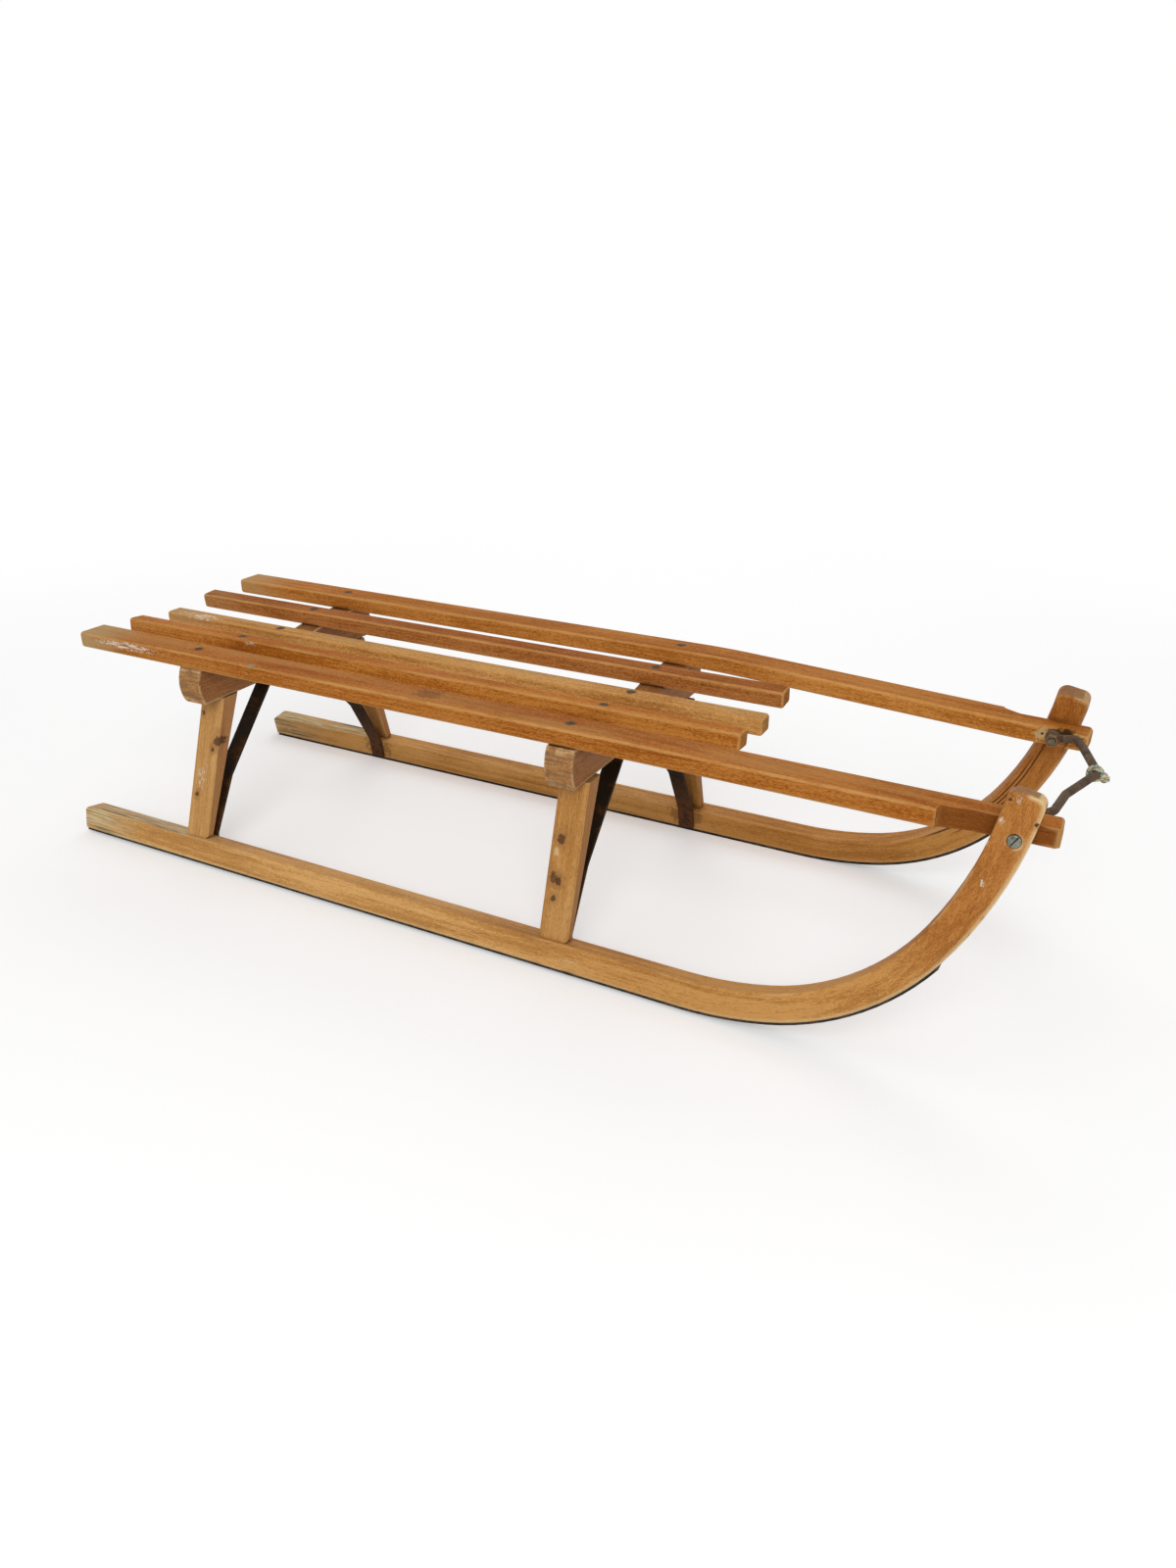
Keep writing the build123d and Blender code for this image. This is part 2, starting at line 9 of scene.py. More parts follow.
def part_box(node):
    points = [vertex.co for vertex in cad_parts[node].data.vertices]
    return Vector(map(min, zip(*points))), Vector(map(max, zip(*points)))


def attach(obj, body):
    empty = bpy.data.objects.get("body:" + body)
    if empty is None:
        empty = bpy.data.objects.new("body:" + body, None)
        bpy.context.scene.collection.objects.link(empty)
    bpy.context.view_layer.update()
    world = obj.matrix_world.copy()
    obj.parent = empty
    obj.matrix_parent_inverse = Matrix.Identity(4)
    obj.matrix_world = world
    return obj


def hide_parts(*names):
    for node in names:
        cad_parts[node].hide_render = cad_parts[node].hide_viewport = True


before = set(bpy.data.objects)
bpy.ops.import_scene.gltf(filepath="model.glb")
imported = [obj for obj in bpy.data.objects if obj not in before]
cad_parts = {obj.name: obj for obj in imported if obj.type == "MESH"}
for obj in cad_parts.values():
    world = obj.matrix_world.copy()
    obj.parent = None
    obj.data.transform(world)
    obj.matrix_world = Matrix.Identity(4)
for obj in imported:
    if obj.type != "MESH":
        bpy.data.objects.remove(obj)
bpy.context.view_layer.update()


# The camera stands at the sled's right, level with the curled tips and well above the seat, and
# looks back and down across it. Places are in metres from the point under the middle of the sled.
def add_object(name, data):
    """A new object in the scene with this data."""
    made = bpy.data.objects.new(name, data)
    bpy.context.scene.collection.objects.link(made)
    return made


picture_height = 1600
focal_length = 1150.8
camera_angles = (64.855, -0.2046, 27.3505)
camera = bpy.data.cameras.new("camera")
camera.sensor_fit = "VERTICAL"
camera.sensor_height = 36
camera.lens = camera.sensor_height * focal_length / picture_height
camera_stand = add_object("camera", camera)
camera_stand.location = (0.5209, -0.9257, 0.5985)
camera_stand.rotation_euler = [math.radians(angle) for angle in camera_angles]
bpy.context.scene.camera = camera_stand


# The runners: two stems of pale ash, 21 mm thick and 28 mm deep, steamed and bent up into curled
# tips, leaning outwards at the top. Golden oil varnish, worn grey at the heels and on top behind
# the rear legs, worn to pale bare wood along the lower edges, painted paler still as painted
# light.
def colour(written):
    """A colour written as six hexadecimal digits, as the linear value that a node takes."""
    parts = [int(written[i:i + 2], 16) / 255 for i in (0, 2, 4)]
    linear = [p / 12.92 if p <= 0.04045 else ((p + 0.055) / 1.055) ** 2.4 for p in parts]
    return (*linear, 1.0)


def add_node(tree, kind, inputs, output=0, **settings):
    """Adds a node with a value or a link at each of these inputs, and gives back one output."""
    node = tree.nodes.new("ShaderNode" + kind)
    for name, value in settings.items():
        setattr(node, name, value)
    for name, value in inputs.items():
        if isinstance(value, bpy.types.NodeSocket):
            tree.links.new(value, node.inputs[name])
        else:
            node.inputs[name].default_value = value
    return node.outputs[output]


class Finish:
    """One material. Its colour, roughness and relief so far are `base`, `rough` and `relief`.

    Most calls add nodes and give back the socket with their result.
    """

    def __init__(self, name, shine=0.5, metal=0.0):
        self.material = bpy.data.materials.new(name)
        self.material.use_nodes = True
        self.tree = self.material.node_tree
        self.shader = self.tree.nodes["Principled BSDF"]
        self.shader.inputs["Specular IOR Level"].default_value = shine
        self.shader.inputs["Metallic"].default_value = metal
        coordinates = self.add("TexCoord", {}).node.outputs
        self.place = coordinates["Object"]
        self.normal = coordinates["Normal"]

    def add(self, kind, inputs, output=0, **settings):
        return add_node(self.tree, kind, inputs, output, **settings)

    def link(self, socket, name):
        """Joins a result to one of the shader's own inputs."""
        self.tree.links.new(socket, self.shader.inputs[name])

    def maths(self, operation, a, b=0.0):
        return self.add("Math", {0: a, 1: b}, operation=operation)

    def product(self, first, *others):
        """All the factors multiplied together."""
        for factor in others:
            first = self.maths("MULTIPLY", first, factor)
        return first

    def vector(self, operation, a, b=(0.0, 0.0, 0.0), output=0):
        return self.add("VectorMath", {0: a, 1: b}, output=output, operation=operation)

    def split(self, vector):
        return self.add("SeparateXYZ", {0: vector}).node.outputs

    def join(self, x, y, z):
        return self.add("CombineXYZ", {0: x, 1: y, 2: z})

    def turn(self, vector, degrees):
        angles = [math.radians(angle) for angle in degrees]
        return self.add("Mapping", {"Vector": vector, "Rotation": angles}, vector_type="POINT")

    def noise(self, place, cells, detail=3.0, rough=0.5, output=0):
        """Noise with this many cells a metre: one number, or one for each axis."""
        cells = cells if isinstance(cells, tuple) else (cells,) * 3
        scaled = self.vector("MULTIPLY", place, cells)
        inputs = {"Vector": scaled, "Scale": 1.0, "Detail": detail, "Roughness": rough}
        return self.add("TexNoise", inputs, output=output)

    def step(self, value, off, on, amount=1.0):
        """0 where the value is at `off`, going smoothly to `amount` at `on`."""
        span = {"From Min": off, "From Max": on, "To Max": amount}
        if off > on:
            span = {"From Min": on, "From Max": off, "To Min": amount, "To Max": 0.0}
        return self.add("MapRange", {"Value": value, **span}, interpolation_type="SMOOTHSTEP")

    def patches(self, place, cells, off, on, detail=3.0, rough=0.5, amount=1.0):
        """Noise cut off between two levels, so that it stands in patches."""
        return self.step(self.noise(place, cells, detail, rough), off, on, amount)

    def mix(self, amount, under, over, how="MIX"):
        inputs = {0: amount, 6: under, 7: over}
        return self.add("Mix", inputs, output=2, data_type="RGBA", blend_type=how)

    def grade(self, value, stops):
        """Colours along a value: `stops` are pairs of a place from 0 to 1 and a written colour."""
        node = self.add("ValToRGB", {0: value}).node
        ramp = node.color_ramp
        while len(ramp.elements) < len(stops):
            ramp.elements.new(0.5)
        for element, (position, written) in zip(ramp.elements, stops):
            element.position = position
            element.color = colour(written)
        return node.outputs[0]

    def tint(self, amount, written, how="MIX"):
        """Lays a colour over the base, where and as far as `amount` says."""
        self.base = self.mix(amount, self.base, colour(written), how)

    def spot(self, at, size, ragged=0.5):
        """1 inside a ragged ellipsoid round a point, 0 outside it."""
        away = self.vector("SUBTRACT", self.place, at)
        scaled = self.vector("DIVIDE", away, size)
        reach = self.vector("LENGTH", scaled, output="Value")
        rim = self.noise(self.place, 1.5 / min(size), detail=2)
        wandering = self.product(self.maths("SUBTRACT", rim, 0.5), 2 * ragged)
        return self.step(self.maths("ADD", reach, wandering), 1.0, 0.6)

    def stain(self, at, size, written, amount=1.0, ragged=0.5):
        self.tint(self.product(self.spot(at, size, ragged), amount), written)

    def scuff(self, at, size, cells, written, share):
        """Fine broken lines inside a spot, along the axis with the fewest cells a metre."""
        lines = self.noise(self.place, cells, detail=4, rough=0.75)
        broken = self.step(lines, share, share + 0.12, 0.8)
        self.tint(self.product(self.spot(at, size, ragged=0.9), broken), written)

    def flatness(self, reach):
        """1 on flat faces, less within `reach` of an arris."""
        bevel = self.add("Bevel", {"Radius": reach}, samples=6)
        true_normal = self.add("NewGeometry", {}, output="Normal")
        return self.vector("DOT_PRODUCT", bevel, true_normal, output="Value")

    def openness(self, reach):
        """1 on open faces, less in corners and creases within `reach`."""
        return self.add("AmbientOcclusion", {"Distance": reach}, output="AO", samples=8)

    def complete(self, depth):
        """Joins all to the shader; `depth` is the relief's height in metres."""
        self.link(self.base, "Base Color")
        self.link(self.rough, "Roughness")
        inputs = {"Height": self.relief, "Distance": depth, "Strength": 1.0}
        self.link(self.add("Bump", inputs, output="Normal"), "Normal")
        return self.material


class Wood(Finish):
    """Varnished wood. `stem` and `facing` are the timber's own place and normal, grain along X."""

    def __init__(self, name, tones, shine=0.15):
        super().__init__(name, shine)
        self.stem = self.place
        self.facing = self.normal
        self.tones = tones

    def grain(self, heart, streaky=0.35, flecked=0.6):
        """Fibres, year rings round the heart, soft streaks and short flecks in the three tones."""
        fibrous, clouded, ringed = 0.45, 0.4, 0.05
        ring_gap = 0.0042
        gap_at_scale_one = 0.314
        spread = 0.22
        drift = self.noise(self.stem, (2.2, 9, 9), detail=2, output=1)
        bowed = self.vector("ADD", self.stem, self.vector("MULTIPLY", drift, (0, 0.016, 0.016)))
        fibres = self.noise(bowed, (40, 1100, 1100), detail=5, rough=0.75)
        flecks = self.noise(bowed, (320, 1500, 1500), detail=3, rough=0.75)
        streaks = self.noise(bowed, (4, 170, 170), detail=5, rough=0.6)
        clouds = self.noise(self.stem, (7, 22, 22), detail=3)
        centred = self.vector("ADD", bowed, (0, *heart))
        ring_inputs = {"Vector": centred, "Scale": gap_at_scale_one / ring_gap, "Distortion": 0.0}
        rings = self.add("TexWave", ring_inputs, output=1, wave_type="RINGS", rings_direction="X",
                         wave_profile="SAW")
        tone = self.product(streaks, streaky)
        for pattern, share in ((fibres, fibrous), (flecks, flecked), (clouds, clouded)):
            tone = self.maths("ADD", tone, self.product(pattern, share))
        late_wood = self.maths("POWER", rings, 3.0)
        tone = self.maths("SUBTRACT", tone, self.product(late_wood, ringed))
        # the patterns are a half on average, and the rings take off a little
        middle = 0.5 * (streaky + fibrous + flecked + clouded) - 0.012
        stops = (middle - spread, middle, middle + spread)
        self.base = self.grade(tone, list(zip(stops, self.tones)))
        pores = self.patches(bowed, (150, 2000, 2000), 0.60, 0.74, detail=1)
        self.tint(self.product(pores, 0.22), self.tones[0], "MULTIPLY")
        self.relief = self.maths("SUBTRACT", fibres, self.product(pores, 0.5))
        self.gloss = self.patches(self.stem, (5, 30, 30), 0.3, 0.7)

    def edges(self, reach=0.004):
        """1 on arrises and on the strips beside them."""
        x, y, z = self.split(self.vector("ABSOLUTE", self.facing))
        flat = self.maths("MAXIMUM", self.maths("MAXIMUM", x, y), z)
        rounded = self.step(flat, 0.965, 0.90)
        return self.maths("MAXIMUM", rounded, self.step(self.flatness(reach), 0.995, 0.94))

    def wear(self, written, amount=0.8, share=0.5):
        """Bare wood in broken lengths along the arrises."""
        broken = self.patches(self.stem, (14, 90, 90), share, share + 0.12, detail=5, rough=0.7)
        self.worn = self.product(self.edges(), self.product(broken, amount))
        self.tint(self.worn, written)

    def end_grain(self, written, amount=0.85):
        """The cut ends: rings and open pores, darker and duller than the faces."""
        self.cut = self.step(self.split(self.vector("ABSOLUTE", self.facing))[0], 0.72, 0.93)
        speckle = self.patches(self.stem, (200, 420, 420), 0.35, 0.7, detail=4, rough=0.7)
        shade = self.mix(speckle, colour(written), self.base)
        self.base = self.mix(self.product(self.cut, amount), self.base, shade)

    def corner_dirt_and_shade(self, written, amount=0.7, reach=0.012):
        """Dirt and painted shade in the corners where pieces meet: darker where another surface is
        within `reach`.
        """
        patchy = self.patches(self.place, 60, 0.25, 0.6, detail=4)
        corner = self.product(self.step(self.openness(reach), 0.80, 0.30), patchy)
        self.tint(self.product(corner, amount), written)

    def seal(self, glossy=0.46):
        """Varnish: glossier where it is whole, duller on worn arrises and cut ends."""
        dulled = 0.30
        inputs = {"Value": self.gloss, "To Min": glossy, "To Max": glossy + 0.12}
        bare = self.maths("MAXIMUM", self.worn, self.cut)
        self.rough = self.maths("ADD", self.add("MapRange", inputs), self.product(bare, dulled))
        return self.complete(0.00035)


def dress(node, material):
    """Puts a material on the whole of a CAD node."""
    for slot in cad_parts[node].material_slots:
        slot.material = material


curl_radius = 0.2304
curl_height = 0.2444
curl_behind_tip = 0.2474


def bent_stem(paint, curl_x):
    """The runner's own axes: along the stem and round its curl, sideways, through its depth."""
    x, y, z = paint.split(paint.place)
    past = paint.maths("SUBTRACT", x, curl_x)
    ahead = paint.maths("MAXIMUM", past, 0.0)
    below = paint.maths("SUBTRACT", curl_height, z)
    angle = paint.maths("ARCTAN2", ahead, below)
    radius = paint.vector("LENGTH", paint.join(ahead, 0.0, below), output="Value")
    straight = paint.maths("MINIMUM", past, 0.0)
    along = paint.maths("ADD", straight, paint.product(angle, curl_radius))
    paint.stem = paint.join(along, y, paint.maths("SUBTRACT", curl_height, radius))
    inputs = {"Vector": paint.normal, "Rotation": paint.join(0.0, angle, 0.0)}
    paint.facing = paint.add("VectorRotate", inputs, rotation_type="EULER_XYZ")


runner_tones = {"left": ("a06c30", "c88d46", "daa45e"), "right": ("a67238", "ce9753", "e0ad6b")}
runner_wear = {"left": 0.25, "right": 0.45}
# how pale the lower arris goes on each side: wear, with painted light on top
sole_wear_and_painted_light = {"left": 0.35, "right": 0.85}
brace_foot_y = {"left": 0.1485, "right": -0.1485}
brace_foot_z = 0.018


def runner_finish(side, curl_x):
    paint = Wood("runner wood " + side, runner_tones[side])
    bent_stem(paint, curl_x)
    paint.grain(heart=(0.02, 0.07), streaky=0.5)
    x, y, z = paint.split(paint.place)
    # the stem gets darker forward of its middle, and the curl is more orange
    paint.tint(paint.step(x, -0.02, 0.20, 0.6), "dfcaa4", "MULTIPLY")
    paint.tint(paint.step(z, 0.05, 0.15, 0.6), "d5ad70", "MULTIPLY")
    # grey weathered heel and top face behind the rear leg, with fine dark cracks along the grain
    heel = paint.step(x, -0.41, -0.505, 0.9)
    top = paint.step(paint.split(paint.facing)[2], 0.55, 0.9)
    behind_leg = paint.product(top, paint.step(x, -0.31, -0.37))
    bare = paint.maths("MAXIMUM", behind_leg, heel)
    mottled = paint.patches(paint.stem, (18, 120, 120), 0.30, 0.55, detail=5, rough=0.7)
    weathered = paint.product(bare, mottled)
    paint.tint(paint.product(weathered, 0.8), "bca176")
    bleached = paint.patches(paint.stem, (30, 420, 420), 0.46, 0.60, detail=4, rough=0.7)
    paint.tint(paint.product(weathered, bleached, 0.85), "e2cfa2")
    cracks = paint.patches(paint.stem, (9, 430, 430), 0.54, 0.61, detail=3, rough=0.6)
    paint.tint(paint.product(weathered, cracks, 0.9), "453520")
    paint.wear("dcb47c", amount=runner_wear[side])
    paint.end_grain("85725a")
    # dirt and painted shade in the corners
    paint.corner_dirt_and_shade("4a3018", amount=0.6, reach=0.009)
    # the lower arris is rubbed pale all along, and on the curl in a strip some 5 mm wide; it is
    # painted paler still as painted light, where it faces down into shade
    low_down = paint.step(paint.split(paint.stem)[2], 0.012, 0.007)
    broken = paint.patches(paint.stem, (30, 90, 90), 0.28, 0.46, detail=5, rough=0.7)
    paint.tint(paint.product(paint.edges(0.006), low_down, broken, sole_wear_and_painted_light[side]), "e8ca94")
    # rust and black damp have run into the wood round the brace feet
    for end in ("rear", "front"):
        foot_low, foot_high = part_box("brace_" + end + "_" + side)
        foot = ((foot_low.x + foot_high.x) / 2, brace_foot_y[side], brace_foot_z)
        paint.stain(foot, (0.020, 0.012, 0.014), "4b2f18", amount=0.45, ragged=1.2)
    return paint


def mark_near_runner(paint):
    """Scratches and specks round the tip, then two streaks and a green smear along the stem."""
    along_stem, along_edge = (60, 300, 900), (40, 300, 900)
    for at, reach in (((0.4485, -0.142, 0.1756), 0.0045), ((0.453, -0.133, 0.224), 0.004),
                      ((0.446, -0.136, 0.206), 0.003), ((0.462, -0.130, 0.2425), 0.004)):
        paint.scuff(at, (0.6 * reach, 0.01, reach), (1400, 300, 260), "e6d9c0", share=0.47)
    for at, reach in (((0.456, -0.130, 0.2415), 0.0016), ((0.477, -0.1325, 0.2267), 0.0018)):
        paint.stain(at, (reach, 0.01, reach), "4f3a26")
    paint.scuff((0.12, -0.170, 0.0167), (0.018, 0.01, 0.003), along_stem, "dcc094", share=0.48)
    paint.scuff((-0.03, -0.171, 0.0138), (0.025, 0.01, 0.0016), along_edge, "805a30", share=0.48)
    paint.stain((0.113, -0.172, 0.006), (0.010, 0.006, 0.002), "4b5440", amount=0.6)


def crack_far_runner(paint):
    """Dark season cracks along the back of the curl, each at its own depth in from the sole."""
    wander = paint.product(paint.noise(paint.stem, (16, 1, 1), detail=1), 0.003)
    across = paint.maths("ADD", paint.split(paint.stem)[2], wander)
    along = paint.split(paint.stem)[0]
    for depth, first, last in ((0.0195, 0.15, 0.26), (0.0228, 0.17, 0.34), (0.0262, 0.12, 0.30)):
        off_line = paint.maths("ABSOLUTE", paint.maths("SUBTRACT", across, depth))
        begun = paint.step(along, first, first + 0.03)
        stretch = paint.product(begun, paint.step(along, last, last - 0.03))
        paint.tint(paint.product(paint.step(off_line, 0.0011, 0.0003), stretch, 0.9), "47240f")


for side, mark in (("left", crack_far_runner), ("right", mark_near_runner)):
    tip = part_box("runner_" + side)[1].x
    paint = runner_finish(side, tip - curl_behind_tip)
    mark(paint)
    dress("runner_" + side, paint.seal())


# The shoes: two black strips of spring steel, 20 mm wide and 2 mm thick, bent under the runners
# from the heels to part way up the curls. They run on snow and grit, so the sole is scratched
# bright lengthwise and the edges are brown with rust.
class Iron(Finish):
    """Old blackened iron or steel: dark skin, rust in patches, rubbed edges."""

    def __init__(self, name, skin, rust, bright, rust_share=0.5, grit=1.0, shine=0.25, metal=0.2):
        super().__init__(name, shine, metal)
        clouds = self.noise(self.place, 70 * grit, detail=6, rough=0.7)
        grains = self.noise(self.place, 900, detail=4, rough=0.7)
        clean = 0.62 + 0.3 * (0.5 - rust_share)
        eaten = 0.80 + 0.3 * (0.5 - rust_share)
        rusted = self.step(self.maths("ADD", clouds, self.product(grains, 0.25)), clean, eaten)
        self.base = self.mix(rusted, colour(skin), colour(rust))
        self.tint(self.step(grains, 0.55, 0.75, 0.5), rust)
        wear_and_sheen = self.step(self.flatness(0.0012), 0.99, 0.90)
        self.tint(self.product(wear_and_sheen, self.step(clouds, 0.40, 0.60), 0.8), bright)
        self.rough = self.maths("ADD", 0.48, self.product(rusted, 0.35))
        self.relief = self.maths("ADD", self.product(clouds, 0.6), self.product(grains, 0.4))


shoe = Iron("shoe steel", skin="221c18", rust="5a3d27", bright="6f6a62")
sole = shoe.step(shoe.split(shoe.normal)[2], -0.5, -0.9)
scores = shoe.patches(shoe.place, (6, 1100, 300), 0.40, 0.62, detail=4, rough=0.7)
shoe.tint(shoe.product(sole, shoe.product(scores, 0.8)), "a19d96")
shoe_steel = shoe.complete(0.0002)
for side in ("left", "right"):
    dress("runner_shoe_" + side, shoe_steel)


# The trestles: four splayed legs, 30 mm wide and tapering from 20 mm thick to 10 mm at the foot,
# tenoned into two round-ended cross beams that are hollowed under the seat. Planed ash, varnished
# like the runners, with small dark knots, and saw marks on the ends of the beams.
leg_top_thick = 0.019
leg_tones = {"leg_rear_right": ("9a6c37", "c4904f", "d6a568")}
other_leg_tones = ("92632f", "b7803f", "ca975a")


def leg_finish(name):
    low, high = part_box(name)
    splay = math.degrees(math.atan2(high.y - low.y - leg_top_thick, high.z - low.z))
    if low.y > 0:
        splay = -splay
    paint = Wood("trestle wood " + name, leg_tones.get(name, other_leg_tones))
    paint.stem = paint.turn(paint.place, (splay, 90, 0))
    paint.facing = paint.turn(paint.normal, (splay, 90, 0))
    paint.grain(heart=(0.06, 0.03))
    # the edges facing along the sled are browner and duller than the flat faces
    ahead = paint.split(paint.vector("ABSOLUTE", paint.normal))[0]
    paint.tint(paint.step(ahead, 0.7, 0.95, 0.55), "a06f48")
    paint.wear("cfa56b", amount=0.35)
    paint.end_grain("77685a")
    # dirt and painted shade in the corners
    paint.corner_dirt_and_shade("4a3320", amount=0.6, reach=0.014)
    return paint


# each knot: how far up the leg, how far in front of its middle, half its width
leg_knots = {
    "leg_front_right": ((0.615, -0.0050, 0.0050), (0.405, -0.0078, 0.0050),
                        (0.392, -0.0020, 0.0042), (0.296, -0.0050, 0.0034)),
    "leg_rear_right": ((0.673, 0.0140, 0.0062), (0.822, -0.0094, 0.0024),
                       (0.618, 0.0086, 0.0028), (0.331, -0.0064, 0.0028)),
    "leg_front_left": ((0.45, 0.003, 0.003),),
    "leg_rear_left": ((0.62, -0.004, 0.0025),),
}
for name, knots in leg_knots.items():
    low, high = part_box(name)
    middle = (low.x + high.x) / 2
    foot_y, top_y = low.y, high.y - leg_top_thick
    if low.y > 0:
        foot_y, top_y = high.y, low.y + leg_top_thick
    paint = leg_finish(name)

    def up_the_face(up, ahead):
        return middle + ahead, foot_y + up * (top_y - foot_y), low.z + up * (high.z - low.z)

    for up, ahead, reach in knots:
        at = up_the_face(up, ahead)
        paint.stain(at, (2.0 * reach, 0.016, 3.0 * reach), "8a5a2e", amount=0.3, ragged=0.6)
        paint.stain(at, (reach, 0.016, 1.1 * reach), "45291a", amount=0.8, ragged=0.7)
    if name == "leg_rear_right":
        # white paint scraped along the outer face
        for up, ahead in ((0.46, -0.004), (0.41, -0.002), (0.50, 0.0)):
            at = up_the_face(up, ahead)
            paint.scuff(at, (0.005, 0.014, 0.008), (700, 300, 160), "e6d8bf", share=0.50)
    if name == "leg_front_right":
        paint.stain(up_the_face(0.544, -0.008), (0.003, 0.012, 0.005), "e0bf8c", amount=0.6)
    dress(name, paint.seal())

for name in ("beam_rear", "beam_front"):
    low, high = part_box(name)
    paint = Wood("trestle wood " + name, ("75492a", "966337", "ad7a48"))
    paint.stem = paint.turn(paint.place, (0, 0, -90))
    paint.facing = paint.turn(paint.normal, (0, 0, -90))
    paint.grain(heart=(0.05, 0.08))
    paint.wear("d8b888", amount=0.85, share=0.42)
    paint.end_grain("bd8c56")
    # coarse saw marks slant across the ends
    slanted = paint.turn(paint.place, (35, 0, 0))
    marks = paint.product(paint.cut, paint.patches(slanted, (30, 30, 380), 0.49, 0.57, detail=2))
    paint.tint(paint.product(marks, 0.55), "7a5f45")
    paint.relief = paint.maths("ADD", paint.relief, paint.product(marks, -0.8))
    if name == "beam_rear":
        paint.stain((high.x, low.y + 0.046, low.z + 0.024), (0.01, 0.0026, 0.002), "3f2a1a")
    # dirt and painted shade in the corners
    paint.corner_dirt_and_shade("3f2b1a", reach=0.018)
    dress(name, paint.seal())


# The braces: four flat iron straps, 17.5 mm wide and 3 mm thick, from a screwed foot inside each
# runner up to the middle of the beam above. Black forge scale, rusted brown along the edges and
# round the feet.
brace = Iron("brace iron", skin="1f160c", rust="482c10", bright="6a5034", shine=0.08, metal=0.0)
low_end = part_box("brace_front_left")[0].z
foot = brace.step(brace.split(brace.place)[2], low_end + 0.090, low_end + 0.015)
crusts = brace.patches(brace.place, 150, 0.30, 0.55, detail=4, rough=0.7)
brace.tint(brace.product(foot, crusts), "5f3d26")
brace_iron = brace.complete(0.0003)
for end in ("rear", "front"):
    for side in ("left", "right"):
        dress("brace_" + end + "_" + side, brace_iron)


# The seat: five planed beech slats, 17 mm thick, varnished red-brown, grey at the rear ends. Two
# outer ones, 34 mm wide, run on to the curled tips, bent in and down, their outer faces cut back
# where the runners' tips bear. Three inner ones, 21 mm wide, end behind the curls.
outer_half_width = 0.017
slat_tones = {
    "slat_outer_right": ("82450f", "a8601f", "bd7b39"),
    "slat_inner_right": ("864a10", "b36922", "ca873e"),
    "slat_centre": ("96602a", "be8140", "d4a05f"),
    "slat_inner_left": ("7e4717", "a5642c", "bf7f46"),
    "slat_outer_left": ("92561b", "bb742d", "cf8e47"),
}
# how far the top is painted grey as sheen, how far the rear end is weathered, and a tint over the
# top against the paleness and blue of its reflection
slat_sheen_and_weathering = {
    "slat_outer_right": (0.34, 0.9, "fff4e0"),
    "slat_inner_right": (0.12, 0.15, "fff0d8"),
    "slat_centre": (0.44, 0.65, "ffffff"),
    "slat_inner_left": (0.06, 0.3, "d8b888"),
    "slat_outer_left": (0.10, 0.6, "e8d8b8"),
}
recess_starts = {"slat_outer_right": 0.4052, "slat_outer_left": 0.4162}
screw_rows = []
for end in ("rear", "front"):
    row_low, row_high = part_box("slat_screws_" + end)
    screw_rows.append((row_low.x + row_high.x) / 2)


def slat_finish(name):
    low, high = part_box(name)
    across = (low.y + high.y) / 2
    if "outer" in name:
        across = low.y + outer_half_width if low.y < 0 else high.y - outer_half_width
    top_sheen, weathering, top_tint_against_reflection = slat_sheen_and_weathering[name]
    paint = Wood("slat wood " + name, slat_tones[name], shine=0.03)
    paint.grain(heart=(0.04, 0.07), flecked=0.8)
    # painted sheen: the top is painted grey in patches as a lamp's reflection, but for a band
    # along each edge, and the whole top is tinted warmer against the blue of its own reflection
    upward = paint.step(paint.split(paint.facing)[2], 0.9, 0.99)
    wear_and_sheen = paint.patches(paint.stem, (5, 60, 60), 0.38, 0.60, detail=5, rough=0.65)
    paint.tint(paint.product(upward, wear_and_sheen, top_sheen), "b3905f")
    paint.tint(paint.product(upward, 0.7), top_tint_against_reflection, "MULTIPLY")
    # the sides are redder, with short dark dashes
    sideways = paint.split(paint.vector("ABSOLUTE", paint.facing))[1]
    dashes = paint.patches(paint.stem, (220, 900, 1500), 0.52, 0.66, detail=3, rough=0.6)
    paint.tint(paint.product(dashes, paint.step(sideways, 0.6, 0.95), 0.28), "6e3a14")
    # handled and rained on, the rear end has gone grey
    rear = paint.step(paint.split(paint.place)[0], low.x + 0.085, low.x + 0.01)
    mottled = paint.patches(paint.stem, (22, 110, 110), 0.26, 0.55, detail=5, rough=0.7)
    paint.tint(paint.product(rear, paint.product(mottled, weathering)), "b79668")
    paint.wear("c99a5e", amount=0.5, share=0.46)
    # a thin paler line along every arris: a painted highlight
    paint.tint(paint.product(paint.edges(0.002), 0.3), "dca766")
    paint.end_grain("8d6a3c", amount=0.7)
    # a dark rim round each screw head
    for row in screw_rows:
        head = (row, across, high.z)
        paint.stain(head, (0.0066, 0.0066, 0.02), "3f2512", amount=0.6, ragged=0.35)
    # dirt and painted shade in the corners
    paint.corner_dirt_and_shade("3a2413", amount=0.6)
    return paint


slats = {name: slat_finish(name) for name in slat_tones}

